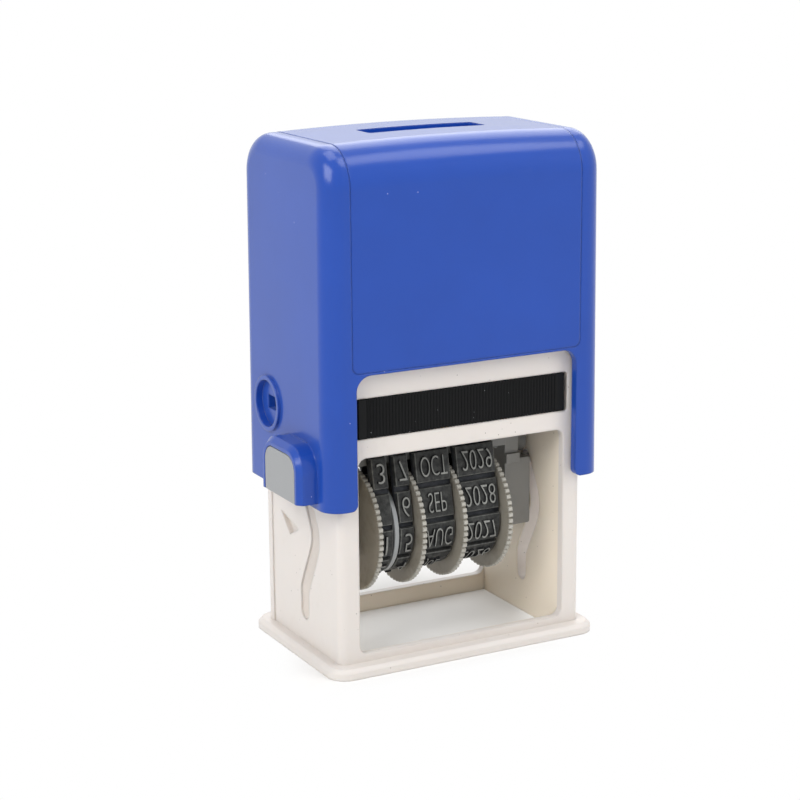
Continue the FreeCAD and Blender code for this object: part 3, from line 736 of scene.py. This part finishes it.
@dataclass
class DateBand:
    """One rubber date band: its belt, its raised cells and the reversed characters on them."""

    name: str
    left: float
    right: float
    labels: list[str]
    text_width: float
    path: BandPath = field(default_factory=BandPath)
    belt_thickness: float = 0.8
    cell_height: float = 1.42
    cell_gap: float = 0.75
    cell_root: float = 0.05
    cell_inset: float = 0.03
    slope: float = 0.12
    edge: float = 0.13
    letter_height: float = 2.95
    letter_root: float = 0.03
    letter_taper: float = 0.09
    letter_thinning: float = 0.014
    letter_rows: int = 10

    def vertex(self, bm: Mesh, x: float, distance: float, height: float) -> Any:
        """A vertex on the band, from its place in the band's own measure."""
        point = self.path.point(distance, height)
        return bm.verts.new((x * MM, point.y * MM, point.z * MM))

    def belt(self, bm: Mesh, steps: int = 150) -> None:
        """Adds the smooth belt that carries the cells.

        Args:
            bm: the mesh.
            steps: how many sections go round it.
        """
        e = self.edge
        top = self.belt_thickness
        section = [
            (self.left, e), (self.left, top - e), (self.left + e, top), (self.right - e, top),
            (self.right, top - e), (self.right, e), (self.right - e, 0.0), (self.left + e, 0.0),
        ]
        round_way = 2 * self.path.half_length()
        rings = []
        for i in range(steps):
            at = round_way * i / steps
            rings.append([self.vertex(bm, x, at, height) for x, height in section])
        skin(bm, rings, smooth=True)
        bmesh.ops.recalc_face_normals(bm, faces=bm.faces)

    def profile(self, low: float, high: float, inner: int) -> list[tuple[float, float]]:
        """Draws the section of a raised cell, from one foot to the other.

        Args:
            low: the place of the first foot.
            high: the place of the second foot.
            inner: how many steps the flat top has.

        Returns:
            Places and heights.
        """
        base = self.belt_thickness - self.cell_root
        shoulder = self.cell_height - self.edge
        a = low + self.slope
        b = high - self.slope
        flat = [a + self.edge + (b - a - 2 * self.edge) * i / inner for i in range(inner + 1)]
        top = [(x, self.cell_height) for x in flat]
        return [(low, base), (a, shoulder), *top, (b, shoulder), (high, base)]

    def cell(self, bm: Mesh, middle: float, pitch: float) -> None:
        """Adds one raised cell with sloping sides.

        Args:
            bm: the mesh.
            middle: the distance of its middle along the band.
            pitch: the distance from cell to cell.
        """
        half = (pitch - self.cell_gap) / 2
        across = self.profile(self.left + self.cell_inset, self.right - self.cell_inset, inner=1)
        reach = half + self.slope / 2
        along = self.profile(middle - reach, middle + reach, inner=8)
        grid = [[self.vertex(bm, x, s, min(hx, hs)) for x, hx in across] for s, hs in along]
        # Painted highlight: the strip between each shoulder and the flat top takes a paler finish,
        # as a bevelled edge catching the light.
        edge_highlight_rows = (1, len(along) - 3)
        edge_highlight_columns = (1, len(across) - 3)
        for j, (row, following) in enumerate(zip(grid, grid[1:])):
            for i in range(len(across) - 1):
                face = bm.faces.new((row[i], following[i], following[i + 1], row[i + 1]))
                edge_highlight = j in edge_highlight_rows or i in edge_highlight_columns
                face.material_index = Rubber.EDGE if edge_highlight else Rubber.CELL

    def outline(self, label: str) -> Mesh:
        """The flat shape of a label, centred, as tall as the type and as wide as the font has it.

        Args:
            label: the characters.

        Returns:
            A flat mesh in millimetres.
        """
        curve = bpy.data.curves.new("letters", "FONT")
        curve.body = label
        curve.size = 1.0
        curve.offset = -self.letter_thinning
        curve.resolution_u = 5
        curve.align_x = "CENTER"
        holder = hang("letters", curve)
        shapes = bpy.context.evaluated_depsgraph_get()
        mesh = bpy.data.meshes.new_from_object(holder.evaluated_get(shapes))
        flat = bmesh.new()
        flat.from_mesh(mesh)
        bpy.data.objects.remove(holder)
        bpy.data.curves.remove(curve)
        bpy.data.meshes.remove(mesh)
        bmesh.ops.remove_doubles(flat, verts=flat.verts, dist=1e-5)
        low = Vector(min(v.co[i] for v in flat.verts) for i in range(3))
        high = Vector(max(v.co[i] for v in flat.verts) for i in range(3))
        for vertex in flat.verts:
            vertex.co = (vertex.co - (low + high) / 2) * (self.letter_height / (high.y - low.y))
        # Level cuts let the type follow the band round its wheel.
        for i in range(1, self.letter_rows):
            cut = Vector((0, (i / self.letter_rows - 0.5) * self.letter_height, 0))
            geometry = [*flat.verts, *flat.edges, *flat.faces]
            bmesh.ops.bisect_plane(flat, geom=geometry, plane_co=cut, plane_no=(0, 1, 0), dist=1e-6)
        flat.verts.index_update()
        return flat

    def characters(self, bm: Mesh, flat: Mesh, squeeze: float, middle: float) -> None:
        """Adds the raised characters of one cell, reversed as on any type face.

        Args:
            bm: the mesh.
            flat: the flat shape of the label, which is freed.
            squeeze: how much narrower the type is than the font.
            middle: the distance of the cell's middle along the band.
        """
        centre = (self.left + self.right) / 2
        top = self.path.print_height
        foot = self.cell_height - self.letter_root
        tops = {}
        feet = {}
        for v in flat.verts:
            v.co.x *= squeeze
            tops[v.index] = self.vertex(bm, centre + v.co.x, middle + v.co.y, top)
        for edge in [e for e in flat.edges if len(e.link_faces) == 1]:
            for v in edge.verts:
                if v.index not in feet:
                    away = sum((f.calc_center_median() - v.co for f in v.link_faces), Vector())
                    out = away.normalized() * -self.letter_taper
                    feet[v.index] = self.vertex(
                        bm, centre + v.co.x + out.x, middle + v.co.y + out.y, foot
                    )
            loop = edge.link_loops[0]
            a, b = loop.vert.index, loop.link_loop_next.vert.index
            wall = bm.faces.new((tops[b], feet[b], feet[a], tops[a]))
            wall.material_index = Rubber.FLANK
        for f in flat.faces:
            face = bm.faces.new([tops[v.index] for v in reversed(f.verts[:])])
            face.material_index = Rubber.FACE
        flat.free()

    def build(self, materials: Sequence[Material]) -> Object:
        """Makes the band and lets it stand for its CAD node.

        Args:
            materials: the rubber finishes, in the order of Rubber.

        Returns:
            The band.
        """
        bm = bmesh.new()
        self.belt(bm)
        count = len(self.labels)
        pitch = 2 * self.path.half_length() / count
        shapes = {i: self.outline(label) for i, label in enumerate(self.labels) if label.strip()}
        widest = max(max(v.co.x for v in flat.verts) for flat in shapes.values()) * 2
        for i in range(count):
            self.cell(bm, i * pitch, pitch)
            if i in shapes:
                self.characters(bm, shapes[i], self.text_width / widest, i * pitch)
        made = mesh_object(f"type_band_{self.name}", bm, materials)
        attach(made, "carriage")
        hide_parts(f"band_{self.name}")
        return made


@dataclass
class TypeCarriage:
    """The turning carriage: cheeks, platen, wheels and the four date bands."""

    belt: Finish = MouldedRubber("inked_rubber_belt", "#303338", "#121319", ink_share=0.6)
    cell: Finish = MouldedRubber("inked_rubber_cell", "#4c4d4b", "#1c1d1e", ink_share=0.85)
    face: Finish = MouldedRubber(
        "rubbed_rubber_type_face", "#969793", "#626361", ink_share=0.5, rough=0.5
    )
    flank: Finish = MouldedRubber(
        "inked_rubber_type_flank", "#27282a", "#131417", ink_share=0.6
    )
    # The cells' bevelled edges get a paler finish: a painted highlight.
    edge: Finish = MouldedRubber(
        "rubber_cell_edge_painted_highlight", "#80817d", "#3c3d3c", ink_share=0.8, rough=0.5
    )
    # The paler tooth colour is a painted highlight round the wheel's rim.
    wheel: Finish = AcetalWheel(
        "grey_acetal_thumb_wheel", "#8c877c", "#adaba3", "#6a655b", axle_y=-1.1, axle_z=18.45
    )
    washer: Finish = SatinMouldedAbs(
        "pale_acetal_separator", "#9b9e9f", "#7d8184", rough=0.36, etch_mm=0.6, scuff_share=0.2
    )
    cheek: Finish = SatinMouldedAbs(
        "grey_abs_carriage", "#878785", "#666765", rough=0.45, etch_mm=0.3, scuff_share=0.35
    )
    pins: Finish = DrawnSteel("drawn_steel_pin", "#b9babc")
    last_day: int = 9
    last_year: int = 2031
    cells: int = 12
    type_widths: tuple[float, ...] = (1.45, 1.4, 4.5, 5.15)

    def labels(self) -> dict[str, list[str]]:
        """Lists the plain date characters of each band.

        Returns:
            The labels by band, in order from the platen down the front.
        """
        months = "JAN FEB MAR APR MAY JUN JUL AUG SEP OCT NOV DEC".split()
        return {
            "day_tens": ["1", "2", "3", " "] * 3,
            "day_units": [str((self.last_day - i) % 10) for i in range(self.cells)],
            "month": months[::-1],
            "year": [str(self.last_year - i) for i in range(self.cells)],
        }

    def build(self) -> list[Object]:
        """Makes the bands and dresses the carriage's CAD nodes.

        Returns:
            The new pieces.
        """
        finishes = (self.belt, self.cell, self.face, self.flank, self.edge)
        rubber = [finish.material() for finish in finishes]
        made = []
        for (name, labels), width in zip(self.labels().items(), self.type_widths):
            low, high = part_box(f"band_{name}")
            band = DateBand(name, low[0] / MM, high[0] / MM, labels, width)
            made.append(band.build(rubber))
        dress(self.wheel, "wheel_day_tens", "wheel_day_units", "wheel_month", "wheel_year")
        dress(self.washer, "separator_disc")
        dress(self.cheek, "print_platen", "spacer_bush", *both("carriage_cheek"))
        dress(self.pins, "wheel_axle", *both("pivot_pin"), *both("cam_pin"))
        return made


def both(stem: str) -> list[str]:
    """The names of a node that stands on each side."""
    return [f"{stem}_{side.value}" for side in Side]


def dress(finish: Finish, *nodes: str) -> Material:
    """Gives CAD nodes a finish.

    Args:
        finish: the finish.
        nodes: the nodes' names.

    Returns:
        The material.
    """
    material = finish.material()
    for name in nodes:
        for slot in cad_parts[name].material_slots:
            slot.material = material
        LOG.info("%s: %s", name, finish.name)
    return material


@dataclass
class ReturnSpring:
    """The steel compression spring between the frame's deck and the bridge under the roof."""

    radius: float = 4.1
    wire: float = 0.8
    turns: int = 5
    low: float = 42.3
    high: float = 72.4
    closed_rise: float = 1.35
    stroke: float = 21.8
    sides: int = 12
    steps_per_turn: int = 36
    finish: Finish = DrawnSteel("oiled_spring_steel", "#8f9196")

    def height(self, turn: float) -> float:
        """Works out how high the wire's centre stands.

        Args:
            turn: the number of turns from the foot of the spring.

        Returns:
            The height.
        """
        start = self.low + self.wire / 2
        free = (self.high - self.low - self.wire - 2 * self.closed_rise) / (self.turns - 2)
        climb = self.closed_rise * min(turn, 1.0)
        climb += free * min(max(turn - 1, 0.0), self.turns - 2)
        return start + climb + self.closed_rise * max(turn - self.turns + 1, 0.0)

    def build(self) -> Object:
        """Winds the spring and lets it stand for its CAD node.

        Returns:
            The spring.
        """
        bm = bmesh.new()
        steps = self.turns * self.steps_per_turn
        rings = []
        for i in range(steps + 1):
            turn = self.turns * i / steps
            angle = turn * tau
            out = Vector((cos(angle), sin(angle), 0))
            ring = []
            for k in range(self.sides):
                around = tau * k / self.sides
                lift = Vector((0, 0, sin(around))) + out * cos(around)
                spot = out * self.radius + Vector((0, 0, self.height(turn))) + lift * self.wire / 2
                ring.append(bm.verts.new(spot * MM))
            rings.append(ring)
        skin(bm, rings, smooth=True, closed=False)
        bmesh.ops.recalc_face_normals(bm, faces=bm.faces)
        made = mesh_object("wound_return_spring", bm, [self.finish.material()])
        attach(made, "frame")
        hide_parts("return_spring")
        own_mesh(made)
        return made


@dataclass
class InkCartridge:
    """The black cartridge with its ribbed grip, and the felt that holds the ink."""

    shell: Finish = SatinMouldedAbs(
        "black_abs_cartridge", "#0e0f10", "#1d1e20", rough=0.5, etch_mm=0.5, scuff_share=0.3,
        gloss=0.18, edge_mm=0.2, speck="#9a9da0", speck_mm=0.09, speck_gap_mm=1.7,
    )
    felt: Finish = PressedFelt("inked_wool_felt", "#0c0d14", "#1d1f2b")
    cells: int = 28
    nap: float = 0.06
    round_in: float = 0.25
    waves: tuple[float, float, float] = (5.1, 3.7, 6.3)

    def build(self) -> Object:
        """Makes the felt and dresses the cartridge.

        Returns:
            The felt.
        """
        dress(self.shell, "ink_cartridge")
        low, high = (Vector(corner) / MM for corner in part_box("ink_felt"))
        bm = bmesh.new()
        bmesh.ops.create_cube(bm, size=1.0)
        bmesh.ops.subdivide_edges(bm, edges=bm.edges, cuts=self.cells, use_grid_fill=True)
        half = (high - low) / 2
        centre = (high + low) / 2
        across, bend, along = self.waves
        for vertex in bm.verts:
            place = Vector(2 * vertex.co[i] * half[i] for i in range(3))
            near = [half[i] - abs(place[i]) for i in range(3)]
            edge = max(0.0, self.round_in - min(near[0], near[1]))
            lift = edge * edge / self.round_in
            sway = 2 * sin(place.y * bend)
            wave = sin(place.x * across + sway) * sin(place.y * along)
            if place.z < 0:
                place.z += (lift + self.nap * (0.5 + 0.5 * wave)) * (-place.z / half.z)
            vertex.co = (centre + place) * MM
        for face in bm.faces:
            face.smooth = True
        made = mesh_object("felt_ink_pad", bm, [self.felt.material()])
        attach(made, "cartridge")
        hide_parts("ink_felt")
        return made


@dataclass
class CoverSeam:
    """The thin bead that nearly fills the seam between the cap's cover and its body."""

    half_width: float = 18.7
    gap: float = 0.1
    corner_r: float = 1.0
    foot_z: float = 44.7
    front_y: float = 14.08
    top_z: float = 76.2
    shoulder_r: float = 5.8
    sunk: float = 0.03
    depth: float = 0.3
    corner_steps: int = 6
    run_steps: int = 120

    def place(self, x: float, way: float, sunk: float) -> Vector:
        """A point under the cap's skin, on its front, shoulders, top or back.

        Args:
            x: the place across.
            way: the way along the skin from the seam's foot in front, over the top.
            sunk: how deep the point lies under the skin.

        Returns:
            The point in metres.
        """
        rise = self.top_z - self.shoulder_r - self.foot_z
        bend = self.shoulder_r * pi / 2
        half = rise + bend + self.front_y - self.shoulder_r
        back = way > half
        way = 2 * half - way if back else way
        inner = self.shoulder_r - sunk
        if way < rise:
            y, z = self.front_y - sunk, self.foot_z + way
        else:
            turn = min((way - rise) / self.shoulder_r, pi / 2)
            y = self.front_y - self.shoulder_r + inner * cos(turn)
            z = self.top_z - self.shoulder_r + inner * sin(turn)
            y -= max(way - rise - bend, 0.0)
        return Vector((x, y if back else -y, z)) * MM

    def build(self, material: Material) -> Object:
        """Makes the bead as one closed loop.

        Args:
            material: the cap's own finish.

        Returns:
            The bead.
        """
        rise = self.top_z - self.shoulder_r - self.foot_z
        length = 2 * (rise + self.shoulder_r * pi / 2 + self.front_y - self.shoulder_r)
        centre_x, r = self.half_width - self.corner_r, self.corner_r
        corners = [
            (centre_x, r, -90), (centre_x, length - r, 0), (-centre_x, length - r, 90),
            (-centre_x, r, 180),
        ]
        route = []
        for number, (x, way, start) in enumerate(corners):
            for step in range(self.corner_steps + 1):
                angle = radians(start + 90 * step / self.corner_steps)
                route.append((x, way, cos(angle), sin(angle)))
            if number % 2 == 0:
                side = copysign(1.0, x)
                steps = self.run_steps
                ways = [r + (length - 2 * r) * i / steps for i in range(1, steps)]
                route += [(x, at, side, 0.0) for at in (ways if side > 0 else ways[::-1])]
        bm = bmesh.new()
        rings = []
        for x, way, across, along in route:
            points = [
                (x + across * reach, way + along * reach, sunk)
                for reach, sunk in (
                    (r, self.sunk), (r - self.gap, self.sunk), (r - self.gap, self.depth),
                    (r, self.depth),
                )
            ]
            rings.append([bm.verts.new(self.place(*point)) for point in points])
        skin(bm, rings, smooth=False)
        bmesh.ops.recalc_face_normals(bm, faces=bm.faces)
        made = mesh_object("cover_seam_bead", bm, [material])
        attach(made, "cap")
        return made


@dataclass
class PressCap:
    """The blue cap with its cover, ring bosses, drive arms and lock buttons."""

    shell: Finish = GlossMouldedAbs("blue_polished_abs", "#1243a2")
    # The drive arms get a darker grey than the carriage: painted shade for where they stand in
    # shadow under the cap.
    inner: Finish = SatinMouldedAbs(
        "grey_abs_drive_works_painted_shade", "#737371", "#5a5b59", rough=0.45, etch_mm=0.3, scuff_share=0.35
    )
    button: Finish = SatinMouldedAbs(
        "pale_grey_abs_button", "#959799", "#85878a", rough=0.4, etch_mm=0.3, scuff_share=0.2
    )
    seam: CoverSeam = field(default_factory=CoverSeam)

    def build(self) -> Object:
        """Dresses the cap's CAD nodes and fills its seam.

        Returns:
            The seam's bead.
        """
        material = dress(self.shell, "cap_body", "cap_cover", *both("ring_plug"))
        dress(self.inner, "spring_bridge", *both("drive_arm"))
        dress(self.button, *both("lock_button"))
        return self.seam.build(material)


@dataclass
class CamSlotWeb:
    """The thin web that closes a cam slot just behind the wall's outer face."""

    outer_x: float = 19.99
    inner_x: float = 19.86
    half_width: float = 1.5
    stroke: float = 21.8
    tail_z: float = 4.9
    steps: int = 48

    def route(self, side: Side) -> list[Vector]:
        """The way of the cam pin in the wall, from rest down to the foot of the slot.

        Args:
            side: the side of the stamp.

        Returns:
            The points, x left at zero.
        """
        middles = []
        for stem in ("pivot_pin", "cam_pin"):
            low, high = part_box(f"{stem}_{side.value}")
            middles.append((Vector(low) + Vector(high)) / 2 / MM)
        pivot, pin = middles
        arm = Vector((0, pin.y - pivot.y, pin.z - pivot.z))
        points = []
        for i in range(self.steps + 1):
            share = i / self.steps
            turn = Matrix.Rotation(-pi * share, 3, "X")
            points.append(turn @ arm + Vector((0, pivot.y, pivot.z - self.stroke * share)))
        foot = points[-1]
        top = points[0] + Vector((0, 0, self.half_width))
        return [top, *points, Vector((0, foot.y, self.tail_z))]

    def build(self, side: Side, material: Material) -> Object:
        """Makes the web as a thin ribbon along the slot.

        Args:
            side: the side of the stamp.
            material: the thin web's finish.

        Returns:
            The web.
        """
        outward = -1 if side is Side.LEFT else 1
        route = self.route(side)
        bm = bmesh.new()
        rows = []
        for i, point in enumerate(route):
            way = route[min(i + 1, len(route) - 1)] - route[max(i - 1, 0)]
            across = Vector((0, way.z, -way.y)).normalized() * self.half_width
            rows.append([
                bm.verts.new((point + offset + Vector((outward * x, 0, 0))) * MM)
                for x, offset in (
                    (self.outer_x, across), (self.outer_x, -across), (self.inner_x, -across),
                    (self.inner_x, across),
                )
            ])
        skin(bm, rows, smooth=False, closed=False)
        bmesh.ops.recalc_face_normals(bm, faces=bm.faces)
        made = mesh_object(f"cam_slot_web_{side.value}", bm, [material])
        # The web is thin enough for light to come through, so it throws no shadow in the slot.
        made.visible_shadow = False
        made.visible_diffuse = False
        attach(made, "frame")
        return made


@dataclass
class OpenFrame:
    """The white frame that stands on the paper."""

    shell: Finish = SatinMouldedAbs(
        "white_satin_abs", "#dbd5d0", "#b9ada0", rough=0.4, etch_mm=0.4, edge_mm=0.5, glow=0.12,
        # The warm brown paints shade into the frame's inner corners and sheltered walls.
        scuff_share=0.18, speck="#6b645c", speck_mm=0.085, speck_gap_mm=1.6, dirt_and_painted_shade="#b39c80",
        # The pale warm colour inside is painted light for the walls within the frame.
        painted_shade_share=0.4, inside="#efe4d3",
    )
    # The web's colour is a touch darker and warmer than the wall's: painted shade that makes the
    # slot read as a recess.
    thin: Finish = SatinMouldedAbs(
        "thin_white_abs_web_painted_shade", "#dacdc3", "#b9ada0", rough=0.4, etch_mm=0.4, edge_mm=0.0, glow=0.9,
        glow_spread=(1.0, 0.95, 0.9), scuff_share=0.18,
    )
    web: CamSlotWeb = field(default_factory=CamSlotWeb)

    def build(self) -> list[Object]:
        """Dresses the frame's CAD node and closes its cam slots.

        Returns:
            The webs in the cam slots.
        """
        dress(self.shell, "base_frame")
        material = self.thin.material()
        return [self.web.build(side, material) for side in Side]


@dataclass
class Viewpoint:
    """The camera, where the picture was taken from."""

    azimuth: float = -28.073
    elevation: float = 13.966
    roll: float = -0.461
    place: tuple[float, float, float] = (-146.109, -266.833, 111.588)
    lens: float = 94.57
    sensor: float = 36.0

    def build(self) -> Object:
        """Makes the scene's camera.

        Returns:
            The camera.
        """
        a, e, r = (radians(v) for v in (self.azimuth, self.elevation, self.roll))
        back = Vector((sin(a) * cos(e), -cos(a) * cos(e), sin(e)))
        level = Vector((0, 0, 1)).cross(back).normalized()
        rise = back.cross(level)
        right = level * cos(r) + rise * sin(r)
        up = rise * cos(r) - level * sin(r)
        data = bpy.data.cameras.new("viewpoint")
        data.lens = self.lens
        data.sensor_width = self.sensor
        data.clip_start = 0.01
        data.clip_end = 20.0
        camera = hang("viewpoint", data)
        turn = Matrix((right, up, back)).transposed().to_4x4()
        camera.matrix_world = Matrix.Translation(Vector(self.place) * MM) @ turn
        bpy.context.scene.camera = camera
        return camera


@dataclass(frozen=True)
class SoftBox:
    """A square lamp that faces the middle of the stamp."""

    name: str
    place: tuple[float, float, float]
    size: float
    watts: float
    mirrored: bool = True
    aim_z: float = 35.0

    def build(self) -> Object:
        """Hangs the lamp.

        Returns:
            The lamp.
        """
        data = bpy.data.lights.new(self.name, "AREA")
        data.shape = "SQUARE"
        data.size = self.size * MM
        data.energy = self.watts
        lamp = hang(self.name, data)
        spot = Vector(self.place) * MM
        lamp.location = spot
        aim = Vector((0, 0, self.aim_z * MM)) - spot
        lamp.rotation_mode = "QUATERNION"
        lamp.rotation_quaternion = aim.to_track_quat("-Z", "Y")
        lamp.visible_glossy = self.mirrored
        return lamp


@dataclass
class Studio:
    """The pale floor, the white room and the soft lamps."""

    floor_half: float = 1500.0
    floor_shade: str = "#f2f1ef"
    near_white: float = 0.1
    strip_heading: float = 28.0
    strip_half: float = 13.0
    strip_front: float = -10.0
    strip_end: float = 38.0
    fade: float = 9.0
    room_level: float = 0.42
    lamps: tuple[SoftBox, ...] = (
        SoftBox("window_soft_box", (-440.0, -220.0, 400.0), 380.0, 2.4),
        SoftBox("right_soft_box", (380.0, -360.0, 260.0), 300.0, 0.95, mirrored=False),
        SoftBox("high_soft_box", (236.0, -136.0, 495.0), 200.0, 0.42),
        SoftBox("back_soft_box", (270.0, 420.0, 430.0), 460.0, 1.2),
        SoftBox("top_soft_box", (0.0, 60.0, 520.0), 260.0, 0.6),
    )

    def floor(self) -> Object:
        """Lays the floor, a pale sheet that fades into the white of the room.

        Returns:
            The floor.
        """
        bm = bmesh.new()
        bmesh.ops.create_grid(bm, x_segments=1, y_segments=1, size=self.floor_half * MM)
        material = bpy.data.materials.new("pale_paper_floor")
        material.use_nodes = True
        tree = material.node_tree
        tree.nodes.clear()
        matt = add(
            tree, "ShaderNodeBsdfPrincipled",
            {"Base Color": linear(self.floor_shade), "Roughness": 0.7, "Specular IOR Level": 0.3},
        )
        white = add(tree, "ShaderNodeEmission", {"Color": (1, 1, 1, 1), "Strength": 1.0})
        # The sheet keeps its own shade under and behind the stamp, and pales into the white room.
        place = own_place(tree)
        turn = radians(self.strip_heading)
        across = Vector((cos(turn), -sin(turn), 0))
        along = Vector((sin(turn), cos(turn), 0))
        lines = (
            (across, -self.strip_half), (-across, -self.strip_half), (along, -self.strip_end),
            (Vector((0, -1, 0)), self.strip_front),
        )
        away = None
        for facing, start in lines:
            reach = add(
                tree, "ShaderNodeVectorMath", {"operation": "DOT_PRODUCT", 1: facing}, {0: place}
            ).outputs["Value"]
            reach = operate("ADD", reach, start * MM)
            away = operate("MAXIMUM", away, reach) if away else reach
        paling = ramp(away, high=self.fade * MM, start=self.near_white)
        paling.node.interpolation_type = "SMOOTHSTEP"
        share = operate("MULTIPLY", any_ray(tree, "Camera", "Glossy"), paling)
        mixed = add(
            tree, "ShaderNodeMixShader", {}, {0: share, 1: matt.outputs[0], 2: white.outputs[0]}
        )
        add(tree, "ShaderNodeOutputMaterial", {}, {"Surface": mixed.outputs[0]})
        made = mesh_object("floor", bm, [material])
        made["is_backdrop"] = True
        return made

    def room(self) -> None:
        """Makes the white room that lights evenly and shows behind and in every gloss."""
        world = bpy.data.worlds.new("white_room")
        world.use_nodes = True
        tree = world.node_tree
        tree.nodes.clear()
        shown = any_ray(tree, "Camera", "Glossy", "Transmission")
        white = (1, 1, 1, 1)
        lit = add(tree, "ShaderNodeBackground", {"Color": white, "Strength": self.room_level})
        seen = add(tree, "ShaderNodeBackground", {"Color": white, "Strength": 1.0})
        mixed = add(
            tree, "ShaderNodeMixShader", {}, {0: shown, 1: lit.outputs[0], 2: seen.outputs[0]}
        )
        add(tree, "ShaderNodeOutputWorld", {}, {"Surface": mixed.outputs[0]})
        bpy.context.scene.world = world

    def build(self) -> None:
        """Sets up the whole studio."""
        self.floor()
        self.room()
        for lamp in self.lamps:
            lamp.build()
        bpy.context.scene.view_settings.view_transform = "Standard"


def write_sizes() -> None:
    """Gathers the CAD box and the dressed model's box, and then drops them unwritten.
    """
    boxes = {"cad": CAD_BOX, "visual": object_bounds()}
    {name: [list(corner) for corner in box] for name, box in boxes.items()}


def main() -> None:
    """Builds the classes in order and reports each piece."""
    logging.basicConfig(level=logging.INFO, format="%(message)s")
    Viewpoint().build()
    Studio().build()
    made = [
        *OpenFrame().build(), PressCap().build(), *TypeCarriage().build(),
        ReturnSpring().build(), InkCartridge().build(),
    ]
    for piece in made:
        LOG.info("%s: %d faces", piece.name, len(piece.data.polygons))
    write_sizes()


if __name__ == "__main__":
    main()
